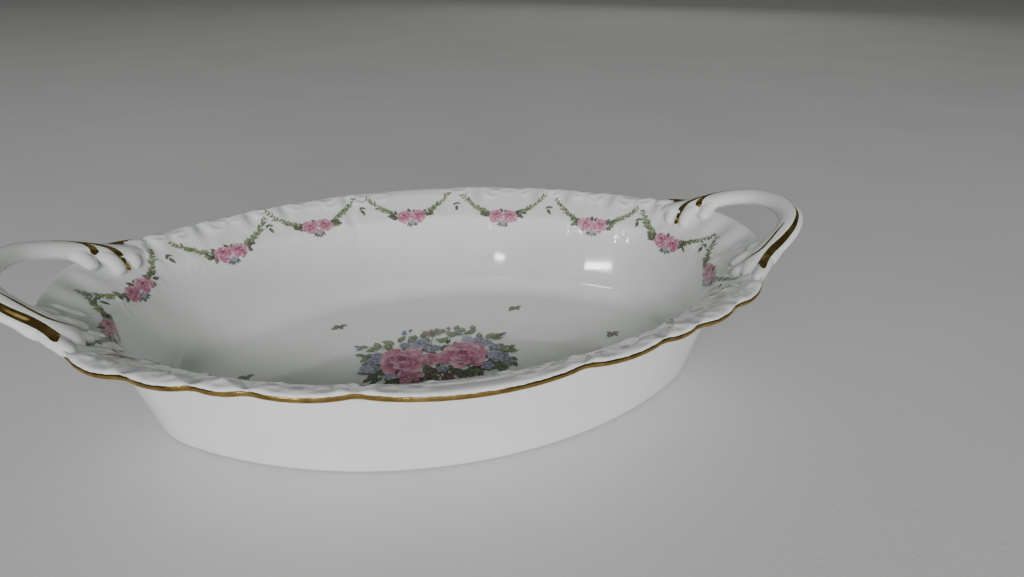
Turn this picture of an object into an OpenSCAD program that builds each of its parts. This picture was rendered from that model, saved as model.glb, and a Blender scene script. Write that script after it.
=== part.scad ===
// Oval porcelain serving bowl with two loop handles, gilt edges and floral transfers.
// Units are millimetres. +Z is up, +X runs along the long axis to the right handle,
// and the origin is the middle of the footprint on the table.
// The rim's plan is an oval of four arcs: two end arcs and two long side arcs.
// Every cross-section is measured from that oval: X outward from it, Y upward.

/* [Bowl] */
// Length of the rim oval, without the handles
rim_length = 270; // [240:1:300]
// Width of the rim oval
rim_width = 176; // [160:1:195]
// Height of the rim along the two long sides
bowl_height = 51; // [44:0.5:60]
// How far the foot stands inside the rim oval
foot_inset = 25; // [22:0.5:28]
// Thickness of the wall
wall_thickness = 3.8; // [3:0.1:5]
// Thickness of the floor
floor_thickness = 4; // [3:0.1:5]
// Height of the hollow under the floor
foot_recess = 1.6; // [1:0.1:2.5]

/* [Lip] */
// How far the flared lip reaches out from the top of the wall
lip_reach = 16; // [13:0.5:18]
// How far the lip climbs from the top of the wall
lip_rise = 13; // [10:0.5:16]
// Thickness of the lip at its edge
lip_edge = 2.2; // [1.8:0.1:3]
// Depth of the small notches between the scallops
notch_depth = 1.5; // [0.5:0.1:2]
// How far the scallops swell beyond the oval
scallop_swell = 1.2; // [0.4:0.1:1.8]
// How far the rim's four rounded corners stand out beyond the oval
corner_swell = 1.2; // [0:0.1:1.6]
// Extra height of the rim at each end, between the handle roots
end_lift = 3.6; // [2:0.1:4.5]

/* [Handles] */
// How far the handle loop stands out past the rim oval
handle_reach = 20; // [16:0.5:24]
// Half the distance between the two limbs of a handle
handle_half_span = 22.5; // [20:0.5:25]
// Height of the loop's outermost point above the rim
handle_rise = 10.5; // [8:0.5:14]
// Radius of each of the three strands of the loop
strand_radius = 2.2; // [1.8:0.1:2.6]

/* [Decoration] */
// Number of flower garlands around the wall
garland_count = 14; // [14:2:14]
// Width of one garland from tip to tip
garland_width = 43; // [36:1:46]
// Height of one garland from its tips to its roses
garland_drop = 12; // [9:0.5:14]
// Radius of one garland rose
rose_radius = 3.3; // [2.5:0.1:4]
// Thickness of the printed and gilt films
film = 0.25; // [0.2:0.01:0.4]
// Height of the gilt band on the rim's edge
gilt_height = 1.4; // [1:0.1:1.8]
// Length of the bouquet in the middle of the floor
bouquet_length = 66; // [55:1:75]
// Distance of the four outer floor sprigs from the short axis
sprig_x = 41; // [36:1:46]
// Distance of the four outer floor sprigs from the long axis
sprig_y = 33; // [30:1:36]
// Distance of the two end sprigs from the short axis
end_sprig_x = 78; // [70:1:82]

/* [Build] */
// Which sub-part to draw

/* [Hidden] */
$fn = 96;
half_length = rim_length / 2;
half_width = rim_width / 2;
// The direction, seen from an end arc's centre, in which it hands over to a side arc.
// With this 3-4-5 direction both arcs have round radii and meet exactly.
seam = [0.6, 0.8];
meet_angle = atan2(seam[1], seam[0]);
centre_gap = (half_length - half_width) / (seam[0] + seam[1] - 1);
end_centre = seam[0] * centre_gap;
side_centre = seam[1] * centre_gap;
end_radius = half_length - end_centre;
side_radius = end_radius + centre_gap;
side_sweep = 180 - 2 * meet_angle;
end_arc = 2 * meet_angle * PI / 180 * end_radius;
side_arc = side_sweep * PI / 180 * side_radius;
rim_girth = 2 * (end_arc + side_arc);
lip_foot_z = bowl_height - lip_rise;
lip_span = lip_reach + 3;
lip_steps = 6;
floor_z = foot_recess + floor_thickness;
// How far inside the rim oval the swept wall's strip of floor ends
floor_ring = foot_inset + 18;
// Along one quarter of the rim, the distances from the short axis at which the scallops meet
notch_x = [for (share = [0.249, 0.467, 0.578, 0.722]) share * half_length];
gilt_end_x = 0.86 * half_length;
porcelain = [0.93, 0.94, 0.93];
gilt = [0.72, 0.53, 0.23];
leaf_green = [0.42, 0.52, 0.34];

// ---- plan oval ----

// Point of the oval whose outward normal points in direction t, moved outward by d
function oval_point(t, d = 0) =
    let (c = cos(t), s = sin(t))
    abs(s) < sin(meet_angle)
        ? [sign(c) * end_centre + (end_radius + d) * c, (end_radius + d) * s]
        : [(side_radius + d) * c, (side_radius + d) * s - sign(s) * side_centre];

// Normal direction at distance g along the oval, counted anticlockwise from the far middle
function turn_at(g) =
    let (w = g - rim_girth * floor(g / rim_girth), q = side_arc / 2)
    w < q ? 90 + w / side_radius * 180 / PI
    : w < q + end_arc ? 180 - meet_angle + (w - q) / end_radius * 180 / PI
    : w < q + end_arc + side_arc
        ? 180 + meet_angle + (w - q - end_arc) / side_radius * 180 / PI
    : w < q + 2 * end_arc + side_arc
        ? 360 - meet_angle + (w - q - end_arc - side_arc) / end_radius * 180 / PI
    : 360 + meet_angle + (w - q - 2 * end_arc - side_arc) / side_radius * 180 / PI;

// One scallop between two notches: -notch_depth at its ends, swelling by "swell" between them
function scallop(x, from, to, swell) =
    -notch_depth + (notch_depth + swell) * pow(max(0, sin(180 * (x - from) / (to - from))), 0.6);

// How far the rim's four corners stand outside the oval at distance x from the short axis
function corner(x) = corner_swell * exp(-pow((x / half_length - 0.8) / 0.17, 2));

// How far the lip's edge stands outside the oval at distance x from the short axis
function edge_offset(x) = corner(x) + (
    x < notch_x[0] ? scallop(x, -notch_x[0], notch_x[0], scallop_swell * 1.3)
    : x < notch_x[1] ? scallop(x, notch_x[0], notch_x[1], scallop_swell * 0.3)
    : x < notch_x[2] ? scallop(x, notch_x[1], notch_x[2], 0)
    : x < notch_x[3] ? scallop(x, notch_x[2], notch_x[3], scallop_swell * 0.4)
    : x < gilt_end_x ? scallop(x, notch_x[3], gilt_end_x, scallop_swell * 0.4)
    : -notch_depth + notch_depth * min(1, (x - gilt_end_x) / 6)
);

// Outline of the scalloped lip edge, moved outward by "grow"
function edge_outline(grow) = [
    for (k = [0 : 287])
        let (t = turn_at(k / 288 * rim_girth), p = oval_point(t))
        p + (edge_offset(abs(p[0])) + grow) * [cos(t), sin(t)]
];

// Keeps the part of its children between two seams: "hub" is where the seams meet,
// and "left" and "right" are their directions
module between_seams(hub, left, right) {
    reach = 2 * rim_length;
    intersection() {
        children();
        translate([0, 0, -1])
            linear_extrude(height = bowl_height + 20)
                polygon([hub, hub + reach * right, hub + reach * left]);
    }
}

// Sweeps a cross-section right round the oval
module sweep_oval() {
    for (half = [0, 180])
        rotate([0, 0, half]) {
            between_seams([end_centre, 0], seam, [seam[0], -seam[1]])
                translate([end_centre, 0, 0])
                    rotate_extrude()
                        translate([end_radius, 0])
                            children();
            between_seams([0, -side_centre], [-seam[0], seam[1]], seam)
                translate([0, -side_centre, 0])
                    rotate_extrude()
                        translate([side_radius, 0])
                            children();
        }
}

// ---- cross-sections ----

// Underside of the flared lip at share u of its reach, and the lip's thickness there
function lip_under(u) = [
    -lip_reach + lip_span * u,
    lip_foot_z + (lip_rise - lip_edge) * (1 - pow(1 - u, 1.35)) * 1.02
];
function lip_thick(u) = wall_thickness + (lip_edge - wall_thickness) * u;
function lip_normal(u) =
    let (a = lip_under(max(0, u - 0.05)), b = lip_under(min(1, u + 0.05)), v = b - a)
    [-v[1], v[0]] / norm(v);
// Upper face of the lip, "lift" above the porcelain
function lip_upper(u, lift = 0) = lip_under(u) + (lip_thick(u) + lift) * lip_normal(u);

// Point low on the inner face of the wall, "lift" above the porcelain
function wall_foot(lift = 0) = [-foot_inset - wall_thickness + 0.8 - lift, 16];

module wall_section() {
    under = [for (k = [0 : lip_steps]) lip_under(k / lip_steps)];
    upper = [for (k = [lip_steps : -1 : 0]) lip_upper(k / lip_steps)];
    corner = -foot_inset - wall_thickness - 1;
    polygon(concat(
        [[-foot_inset - 0.7, 0], [-foot_inset, 0.7]],
        under,
        upper,
        [wall_foot(), [corner - 0.6, floor_z + 3.6], [corner - 2.6, floor_z + 1.2],
         [corner - 5.6, floor_z]],
        [[-floor_ring, floor_z], [-floor_ring, foot_recess], [-foot_inset - 5.3, foot_recess],
         [-foot_inset - 4.4, 0]]
    ));
}

// Thin skin that lies on the inner face of the wall and of the lip's lower two thirds
module skin_section() {
    top_step = round(lip_steps * 2 / 3);
    polygon(concat(
        [wall_foot()],
        [for (k = [0 : top_step]) lip_upper(k / lip_steps)],
        [for (k = [top_step : -1 : 0]) lip_upper(k / lip_steps, film)],
        [wall_foot(film)]
    ));
}

// The raised lip between the roots of one handle
module end_crest() {
    crest_turn = 27;
    translate([end_centre, 0, 0])
        rotate([0, 0, -crest_turn])
            rotate_extrude(angle = 2 * crest_turn)
                translate([end_radius, 0])
                    polygon([
                        lip_upper(0.7) - [0, 1],
                        lip_upper(0.8) - [0, 1.2],
                        [-1.1, bowl_height - 2],
                        [0.4, bowl_height + end_lift - 1],
                        [-0.6, bowl_height + end_lift],
                        [-2, bowl_height + end_lift - 0.6],
                        lip_upper(0.76) + [0, 1]
                    ]);
}

// ---- the casting ----

// Fills the middle of the floor, inside the ring that is swept with the wall
module floor_plate() {
    translate([0, 0, foot_recess])
        linear_extrude(height = floor_thickness)
            polygon([
                for (k = [0 : 59])
                    oval_point(turn_at((k + 0.5) / 60 * rim_girth), 4 - floor_ring)
            ]);
}

module casting() {
    intersection() {
        union() {
            sweep_oval() wall_section();
            floor_plate();
        }
        translate([0, 0, -1])
            linear_extrude(height = bowl_height + 20)
                polygon(edge_outline(0));
    }
    for (side = [0, 1])
        mirror([side, 0, 0])
            end_crest();
}

module bowl_body() {
    color(porcelain)
        casting();
}

// ---- handles ----

loop_tilt = 16;
loop_centre = half_length + handle_reach - handle_half_span - 2 * strand_radius;
loop_z = bowl_height + handle_rise;

// Places children in the tilted plane of the right handle's loop
module loop_plane() {
    translate([half_length + handle_reach - 2 * strand_radius, 0, loop_z])
        rotate([0, -loop_tilt, 0])
            translate([-handle_half_span, 0, 0])
                children();
}

// Three strands lying side by side, as the section of the loop
module strand_section() {
    step = strand_radius * 1.15;
    translate([-step, 0])
        circle(r = strand_radius * 0.95);
    circle(r = strand_radius * 1.15);
    translate([step, 0])
        circle(r = strand_radius);
}

module loop() {
    loop_plane()
        rotate([0, 0, -98])
            rotate_extrude(angle = 196)
                translate([handle_half_span, 0])
                    strand_section();
}

// A spindle-shaped lobe of half length "reach": its axis turned by "turn" in plan and dipped by "dip"
module lobe(x, y, z, reach, radius, turn, dip) {
    steps = 8;
    translate([x, y, z])
        rotate([0, 90 + dip, turn])
            rotate_extrude()
                polygon([
                    for (k = [0 : steps])
                        [radius * sin(180 * k / steps), -reach * cos(180 * k / steps)]
                ]);
}

// The leafy root that carries one limb of the loop down on to the lip
module root() {
    limb_x = half_length - 7;
    lobe(limb_x - 3.5, handle_half_span + 6.5, bowl_height + 2.4, 11, 4, 121, 12);
    lobe(limb_x - 9, handle_half_span + 15, bowl_height + 0.6, 5, 3.2, 121, 4);
    lobe(limb_x - 8, handle_half_span + 2, bowl_height + 0.8, 10, 3, 163, 16);
    lobe(limb_x - 9.5, handle_half_span + 8.5, bowl_height + 0.4, 8.5, 2.7, 142, 14);
    lobe(limb_x - 1, handle_half_span - 0.5, bowl_height + 3, 6.5, 4, 140, 24);
}

module handle() {
    difference() {
        union() {
            loop();
            for (side = [0, 1])
                mirror([0, side, 0])
                    root();
        }
        casting();
    }
}

module handle_right() {
    color(porcelain)
        handle();
}

module handle_left() {
    color(porcelain)
        mirror([1, 0, 0])
            handle();
}

// ---- gilding ----

// Gilt film on the edge of the rim; "side" is -1 for the front and 1 for the back
module rim_gilding(side) {
    intersection() {
        translate([0, 0, bowl_height - 1.1 - gilt_height / 2])
            linear_extrude(height = gilt_height)
                difference() {
                    polygon(edge_outline(film));
                    polygon(edge_outline(0));
                }
        translate([-gilt_end_x, side < 0 ? -rim_width : 1, 0])
            cube([2 * gilt_end_x, rim_width - 1, 2 * bowl_height]);
    }
}

module rim_gilding_front() {
    color(gilt)
        rim_gilding(-1);
}

module rim_gilding_back() {
    color(gilt)
        rim_gilding(1);
}

// Gilt film on the outer strand of a loop, from the crown round to the near root
module loop_gilding() {
    step = strand_radius * 1.15;
    loop_plane()
        rotate([0, 0, -84])
            rotate_extrude(angle = 130)
                translate([handle_half_span + step, 0])
                    difference() {
                        circle(r = strand_radius + film);
                        circle(r = strand_radius);
                        translate([-3 * strand_radius, -3 * strand_radius])
                            square([3.2 * strand_radius, 6 * strand_radius]);
                        translate([0, -3 * strand_radius])
                            square([3 * strand_radius, 2.6 * strand_radius]);
                    }
}

module handle_gilding_right() {
    color(gilt)
        loop_gilding();
}

module handle_gilding_left() {
    color(gilt)
        mirror([1, 0, 0])
            loop_gilding();
}

// ---- transfers ----

// Moves children to the wall at distance g round the oval and turns them to face the wall
module on_wall(g) {
    t = turn_at(g);
    p = oval_point(t, -lip_reach - wall_thickness);
    translate([p[0], p[1], lip_foot_z + 2])
        rotate([0, 0, t + 90])
            rotate([120, 0, 0])
                translate([0, 0, -10])
                    children();
}

// Pointed leaf of the given length, starting at the origin
module leaf(length, width) {
    polygon([[0, 0], [length * 0.4, width / 2], [length, 0], [length * 0.4, -width / 2]]);
}

// Height of a garland's strands above its roses at distance x from its middle
function strand_y(x) = garland_drop * pow(abs(x) * 2 / garland_width, 1.7);

// One garland as a prism: two hanging strands with leaves, two roses and a tassel
module garland_prism(depth) {
    half = garland_width / 2;
    steps = 8;
    band = 1.1;
    linear_extrude(height = depth)
        polygon(concat(
            [for (k = [-steps : steps]) [half * k / steps, strand_y(half * k / steps) + band]],
            [for (k = [steps : -1 : -steps]) [half * k / steps, strand_y(half * k / steps) - band]]
        ));
    for (side = [0, 1])
        mirror([side, 0, 0]) {
            for (k = [3 : steps - 1])
                translate([half * k / steps, strand_y(half * k / steps), 0])
                    rotate([0, 0, k % 2 == 0 ? 80 : -20])
                        linear_extrude(height = depth)
                            leaf(3.4, 2);
            translate([rose_radius * 0.9, 0, 0])
                cylinder(r = rose_radius, h = depth, $fn = 24);
        }
    translate([0, -rose_radius * 0.4, 0])
        rotate([0, 0, -90])
            linear_extrude(height = depth)
                leaf(7, 3.4);
}

module garland(index) {
    color(leaf_green)
        intersection() {
            sweep_oval() skin_section();
            on_wall(index * rim_girth / garland_count)
                garland_prism(26);
        }
}

module garland_01() { garland(0); }
module garland_02() { garland(1); }
module garland_03() { garland(2); }
module garland_04() { garland(3); }
module garland_05() { garland(4); }
module garland_06() { garland(5); }
module garland_07() { garland(6); }
module garland_08() { garland(7); }
module garland_09() { garland(8); }
module garland_10() { garland(9); }
module garland_11() { garland(10); }
module garland_12() { garland(11); }
module garland_13() { garland(12); }
module garland_14() { garland(13); }

// Three small leaves that hang between two garlands
module pendant_outline() {
    translate([0, 3.2])
        for (turn = [-125, -90, -55])
            rotate([0, 0, turn])
                leaf(5.4, 2.2);
}

module pendant_sprigs() {
    color(leaf_green)
        intersection() {
            sweep_oval() skin_section();
            for (index = [0 : garland_count - 1])
                on_wall((index + 0.5) * rim_girth / garland_count)
                    linear_extrude(height = 26)
                        pendant_outline();
        }
}

// Bouquet of two roses among leaves
module floor_bouquet() {
    half = bouquet_length / 2;
    color([0.85, 0.62, 0.68])
        translate([0, 0, floor_z]) {
            for (side = [-1, 1])
                translate([side * half * 0.3, 0, 0])
                    cylinder(r = half * 0.33, h = film);
            for (turn = [0 : 24 : 359])
                translate([half * 0.34 * cos(turn), half * 0.14 * sin(turn), 0])
                    rotate([0, 0, atan2(0.62 * sin(turn), cos(turn))])
                        linear_extrude(height = film)
                            leaf(half * 0.62, half * 0.32);
        }
}

// Small scattered sprigs round the bouquet
module floor_sprigs() {
    outer = [for (sx = [-1, 1], sy = [-1, 1]) [sx * sprig_x, sy * sprig_y]];
    ends = [[-end_sprig_x, 0], [end_sprig_x, 0]];
    color(leaf_green)
        translate([0, 0, floor_z])
            linear_extrude(height = film)
                for (spot = concat(outer, ends))
                    translate(spot)
                        polygon([
                            for (k = [0 : 5])
                                (k % 2 == 0 ? 4.2 : 0.9) * [cos(60 * k), sin(60 * k)]
                        ]);
}

bowl_body();
handle_left();
handle_right();
rim_gilding_front();
rim_gilding_back();
handle_gilding_left();
handle_gilding_right();
garland_01();
garland_02();
garland_03();
garland_04();
garland_05();
garland_06();
garland_07();
garland_08();
garland_09();
garland_10();
garland_11();
garland_12();
garland_13();
garland_14();
pendant_sprigs();
floor_bouquet();
floor_sprigs();
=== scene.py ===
"""Looks of the oval porcelain serving bowl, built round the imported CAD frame.

The helpers work in millimetres and radians; a mesh is scaled to metres when it is made.
A place on the bowl's wall is (g, v): g is the distance round the rim oval, anticlockwise from
the far middle, and v is the distance down the inner face from the rim's edge.
"""
import math
import random

import bpy
import numpy as np
from mathutils import Matrix, Vector
from mathutils.bvhtree import BVHTree


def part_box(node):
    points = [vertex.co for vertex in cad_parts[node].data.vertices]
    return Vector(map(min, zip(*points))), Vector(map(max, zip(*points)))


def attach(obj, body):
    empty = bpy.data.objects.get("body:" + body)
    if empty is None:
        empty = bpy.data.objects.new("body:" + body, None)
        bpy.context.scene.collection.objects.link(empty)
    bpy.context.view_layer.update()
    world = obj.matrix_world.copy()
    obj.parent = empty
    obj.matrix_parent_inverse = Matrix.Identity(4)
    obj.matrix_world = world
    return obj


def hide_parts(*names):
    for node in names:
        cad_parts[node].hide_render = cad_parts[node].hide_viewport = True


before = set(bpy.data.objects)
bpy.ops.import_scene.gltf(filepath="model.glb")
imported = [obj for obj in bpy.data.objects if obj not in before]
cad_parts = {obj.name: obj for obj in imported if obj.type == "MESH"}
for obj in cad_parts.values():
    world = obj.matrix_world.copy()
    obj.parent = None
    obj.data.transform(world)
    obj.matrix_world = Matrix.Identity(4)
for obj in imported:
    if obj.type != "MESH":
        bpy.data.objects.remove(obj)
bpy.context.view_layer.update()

MM = 0.001
TAU = 2 * math.pi

# ---- driving sizes, in millimetres, from the frame ----

CREST_OUT = 0.4
CENTRE_SWELL = 1.56
END_LIFT = 3.6
body_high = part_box("bowl_body")[1] / MM
handle_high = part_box("handle_right")[1] / MM
HALF_LENGTH = body_high.x - CREST_OUT
HALF_WIDTH = body_high.y - CENTRE_SWELL
RIM_Z = body_high.z - END_LIFT
FLOOR_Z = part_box("floor_bouquet")[0].z / MM
HANDLE_END = handle_high.x
GARLANDS = sum(name.startswith("garland_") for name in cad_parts)

# The oval: two end arcs and two side arcs that meet along a 3-4-5 direction
CENTRE_GAP = (HALF_LENGTH - HALF_WIDTH) / 0.4
END_CENTRE = 0.6 * CENTRE_GAP
SIDE_CENTRE = 0.8 * CENTRE_GAP
END_RADIUS = HALF_LENGTH - END_CENTRE
SIDE_RADIUS = END_RADIUS + CENTRE_GAP
MEET = math.atan2(0.8, 0.6)
END_ARC = 2 * MEET * END_RADIUS
SIDE_ARC = (math.pi - 2 * MEET) * SIDE_RADIUS
GIRTH = 2 * (END_ARC + SIDE_ARC)

# Distances from the short axis at which two scallops of the edge meet, and where the gilding ends
NOTCHES = [share * HALF_LENGTH for share in (0.249, 0.467, 0.578, 0.722)]
GILT_END = 0.86 * HALF_LENGTH
NOTCH_DEPTH = 1.5
SWELL = 1.2

# Places round the skin of the casting
COLUMNS = 720


# ---- small helpers ----

def bell(distance, width):
    """A smooth bump, 1 at distance 0 and gone beyond about twice the width."""
    return np.exp(-((distance / width) ** 2))


def unit(vectors):
    """The rows of vectors, each made 1 long."""
    return vectors / np.linalg.norm(vectors, axis=1)[:, None]


def distances(path):
    """How far along the path each of its points is."""
    return np.concatenate([[0], np.cumsum(np.linalg.norm(np.diff(path, axis=0), axis=1))])


def append_part(points, faces, part_points, part_faces):
    """Adds a part's points and faces to those of a whole."""
    start = len(points)
    points.extend(part_points)
    faces.extend(tuple(start + i for i in face) for face in part_faces)


def catmull(points, count):
    """A smooth curve through the points, with count places along it."""
    points = np.array(points, float)
    ends = np.concatenate([[2 * points[0] - points[1]], points, [2 * points[-1] - points[-2]]])
    out = []
    for t in np.linspace(0, len(points) - 1, count):
        k = min(int(t), len(points) - 2)
        f = t - k
        a, b, c, d = ends[k:k + 4]
        square, cube = 2 * a - 5 * b + 4 * c - d, 3 * b - a - 3 * c + d
        out.append(0.5 * (2 * b + (c - a) * f + square * f**2 + cube * f**3))
    return np.array(out)


# ---- the oval ----

def turn_at(g):
    """Direction of the oval's outward normal at g."""
    quarter = SIDE_ARC / 2
    far = [0, quarter, quarter + END_ARC, quarter + END_ARC + SIDE_ARC, GIRTH - quarter, GIRTH]
    half = math.pi / 2
    turns = [half, math.pi - MEET, math.pi + MEET, TAU - MEET, TAU + MEET, TAU + half]
    return np.interp(np.mod(g, GIRTH), far, turns)


def oval_point(turn, out):
    """Plan position of the oval's point with that normal, moved outward by out."""
    c, s = np.cos(turn), np.sin(turn)
    on_end = np.abs(s) < 0.8
    x = np.where(on_end, np.sign(c) * END_CENTRE + (END_RADIUS + out) * c, (SIDE_RADIUS + out) * c)
    y_side = (SIDE_RADIUS + out) * s - np.sign(s) * SIDE_CENTRE
    return x, np.where(on_end, (END_RADIUS + out) * s, y_side)


def girth_at_x(x):
    """Distance g from the far middle to the place where |x| is reached."""
    g = np.linspace(0, GIRTH / 4, 4000)
    return float(np.interp(x, np.abs(oval_point(turn_at(g), 0)[0]), g))


def scallops(x):
    """The crisp scalloped line: how far it stands outside the oval at distance x."""
    starts = [-NOTCHES[0], *NOTCHES, GILT_END]
    swells = [1.3 * SWELL, 0.3 * SWELL, 0.0, 0.4 * SWELL, 0.4 * SWELL]
    out = -NOTCH_DEPTH + NOTCH_DEPTH * np.clip((x - GILT_END) / 6, 0, 1)
    for start, end, swell in zip(starts[:-1], starts[1:], swells):
        share = np.clip((x - start) / (end - start), 0, 1)
        lobe = -NOTCH_DEPTH + (NOTCH_DEPTH + swell) * np.sin(math.pi * share) ** 0.6
        out = np.where((x >= start) & (x < end), lobe, out)
    return out + SWELL * bell(x / HALF_LENGTH - 0.8, 0.17)


def edge_offset(x):
    """The scalloped edge at distance x from the short axis, its notches softened by the glaze."""
    return sum(scallops(np.abs(x + step)) for step in np.linspace(-2.4, 2.4, 7)) / 7


# ---- the cross-section ----

LIP_RISE = 13
LIP_FOOT_Z = RIM_Z - LIP_RISE
FOOT = -25
WALL = 3.8
LIP_EDGE = 2.2
EDGE_ROUND = 1.1
FLOOR_RING = -42


def lip_under(u):
    """Underside of the flared lip at share u of its reach: (out from the oval, height)."""
    rise = (LIP_RISE - LIP_EDGE) * 1.02 * (1 - (1 - u) ** 1.35)
    return np.stack([-16 + 19 * u, LIP_FOOT_Z + rise], -1)


def lip_upper(u):
    """Upper face of the lip over that point of its underside."""
    step = lip_under(np.minimum(1, u + 0.05)) - lip_under(np.maximum(0, u - 0.05))
    normal = unit(np.stack([-step[:, 1], step[:, 0]], -1))
    return lip_under(u) + (WALL + (LIP_EDGE - WALL) * u)[:, None] * normal


def smooth_path(points, blur):
    """The path with close, even points and corners rounded over about blur."""
    fine = 0.1
    points = np.array(points, float)
    far = distances(points)
    even = np.arange(0, far[-1], fine)
    path = np.stack([np.interp(even, far, points[:, k]) for k in (0, 1)], -1)
    reach = int(blur / fine)
    weights = np.hanning(2 * reach + 3)[1:-1]
    padded = np.pad(path, ((reach, reach), (0, 0)), mode="reflect", reflect_type="odd")
    weights = weights / weights.sum()
    return np.stack([np.convolve(padded[:, k], weights, "valid") for k in (0, 1)], -1)


def spaced(path, spacing):
    """Points along the path, spacing(far) apart at the distance far from its start."""
    far = distances(path)
    stops = [0.0]
    while stops[-1] < far[-1] - spacing(stops[-1]) / 2:
        stops.append(stops[-1] + spacing(stops[-1]))
    return np.stack([np.interp(stops, far, path[:, k]) for k in (0, 1)], -1)


def outer_chain():
    """From the hollow under the floor, over the foot ring and up the wall, to below the edge."""
    u = np.linspace(0, 1, 60)
    lip = lip_under(u)
    lip = lip[lip[:, 0] < -EDGE_ROUND]
    hollow, ground = 1.6, 0.05
    foot = [
        [FLOOR_RING, hollow], [FOOT - 5.3, hollow], [FOOT - 4.4, ground], [FOOT - 0.7, ground], [FOOT, 0.8],
    ]
    path = smooth_path(foot + lip.tolist(), 0.7)
    return spaced(path, lambda far: 3.4 if far < 10 else 0.9 if far < 19 else 5.0 if far < 54 else 1.3)


def inner_chain():
    """From above the edge, down the lip and the wall, to the floor."""
    u = np.linspace(1, 0, 60)
    lip = lip_upper(u)
    lip = lip[lip[:, 0] < -EDGE_ROUND]
    wall = [[-28, 16], [-29.2, 12], [-31.4, 8.2], [-34.4, FLOOR_Z], [FLOOR_RING, FLOOR_Z]]
    path = smooth_path(lip.tolist() + wall, 3.0)
    return spaced(path, lambda far: 0.62 if far < 31 else 1.5)


def edge_chain(below, above):
    """The rounded edge between the lip's two faces."""
    bends = np.linspace(-math.pi / 2, math.pi / 2, 9)[1:-1]
    middle = (below + above) / 2
    half = (above - below) / 2
    return np.array([middle + half * math.sin(a) + [EDGE_ROUND * math.cos(a), 0] for a in bends])


# ---- low relief of the lip and wall ----

def ridge(grid_g, grid_v, curve, width):
    """Height of a rounded ridge along a curve of (g, v) points, 1 on its crest."""
    low, high = curve.min(0) - 4 * width, curve.max(0) + 4 * width
    near_g = np.mod(grid_g - low[0], GIRTH) + low[0]
    window = (near_g < high[0]) & (grid_v > low[1]) & (grid_v < high[1])
    height = np.zeros(grid_g.shape)
    if not window.any():
        return height
    places = np.stack([near_g[window], grid_v[window]], -1)
    taper = np.sin(math.pi * np.linspace(0.06, 0.97, len(curve))) ** 0.5
    gap = ((places[:, None] - curve[None]) ** 2).sum(-1)
    nearest = gap.argmin(1)
    height[window] = np.exp(-gap.min(1) / width**2) * taper[nearest]
    return height


def curl(start, heading, length, bend, tighten):
    """A scroll in (g, v): it starts straight along heading and winds up with bend and tighten."""
    s = np.linspace(0, 1, 40)
    angle = heading + bend * s + tighten * s**3
    step = np.stack([np.cos(angle), np.sin(angle)], -1) * length / (len(s) - 1)
    return np.array(start) + np.concatenate([[[0, 0]], np.cumsum(step, 0)[:-1]])


# Small oval cartouches of the lip: distance from the short axis, and depth below the edge
CARTOUCHES = [(16.8, 6.2), (0.365 * HALF_LENGTH, 5.6), (0.65 * HALF_LENGTH, 5.6)]


def add_valleys(height, folded, grid_v, notch_g):
    """A soft valley runs inward from each notch, and the lobe between two notches is puffed up."""
    for k, place in enumerate(notch_g):
        inward = bell(grid_v, 17 if k == 0 else 13)
        height -= 0.90 * bell(folded - place, 2.0) * inward
        height += 0.55 * bell(np.abs(folded - place) - 4.4, 2.3) * inward
    for start, end in zip([-notch_g[0], *notch_g[:-1]], notch_g):
        share = np.clip((folded - start) / (end - start), 0, 1)
        height += 0.65 * np.sin(math.pi * share) * bell(grid_v - 6, 5)


def add_flutes(height, folded, grid_v, turn):
    """Radial flutes fan out between the handle roots."""
    flute = GIRTH / 4 / 11
    at_end = np.clip((np.abs(np.cos(turn)) - 0.7) / 0.15, 0, 1)
    height += 0.45 * np.cos(TAU * folded / flute) * at_end * bell(grid_v - 8, 6.5)


SCROLL_RISE, SCROLL_WIDTH = 1.15, 1.2
# Scrolls that spring in pairs from every notch: distance to its side, depth below the edge, heading
# from the rim's direction, length, bend, tightening, and share of that rise and width
SCROLLS = [
    (1.2, 2.0, 1.25, 20, -0.9, -5.4, 0.55, 0.85),
    (3.6, 2.6, 0.75, 12, -0.5, -2.2, 0.34, 0.7),
    (0.8, 12.0, 0.9, 10, 0.5, 0.9, 0.2, 1.0),
]


def add_scrolls(height, grid_g, grid_v, middle, side, notch_g):
    """The scrolls and cartouche rings on one side of the lip's far or near middle."""
    for k, place in enumerate(notch_g):
        at, size = middle + side * place, 1.0 if k in (0, 3) else 0.72
        for off, depth, heading, length, bend, tighten, rise, width in SCROLLS:
            for way, turned in ((1, heading), (-1, math.pi - heading)):
                curve = curl((at + way * off, depth), turned, length * size, way * bend, way * tighten)
                height += SCROLL_RISE * rise * ridge(grid_g, grid_v, curve, SCROLL_WIDTH * width)
        spine = curl((at, 10.0), math.pi / 2, 11 * size, 0.25, 0.3)
        height += SCROLL_RISE * 0.27 * ridge(grid_g, grid_v, spine, SCROLL_WIDTH * 1.2)
    a = np.linspace(0, TAU, 40)
    for x, depth in CARTOUCHES:
        ring_at = middle + side * girth_at_x(x)
        for long, short in ((4.6, 2.5), (2.6, 1.1)):
            ring = np.stack([ring_at + long * np.cos(a), depth + short * np.sin(a)], -1)
            height += 0.55 * ridge(grid_g, grid_v, ring, 0.65)


def add_ribs(height, grid_g, grid_v):
    """Leafy ribs low on the wall, two sprays to every garland."""
    for k in range(2 * GARLANDS):
        at = (k + 0.5) * GIRTH / (2 * GARLANDS)
        for side in (-1, 1):
            for lean, length in ((0.35, 15), (0.8, 11), (1.25, 8)):
                heading = math.pi / 2 + side * (0.9 - 0.5 * lean)
                curve = curl((at + side * 1.5, 15 + 2 * lean), heading, length, -side * lean, -side * 1.1)
                height += 0.17 * ridge(grid_g, grid_v, curve, 0.9)


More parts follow.
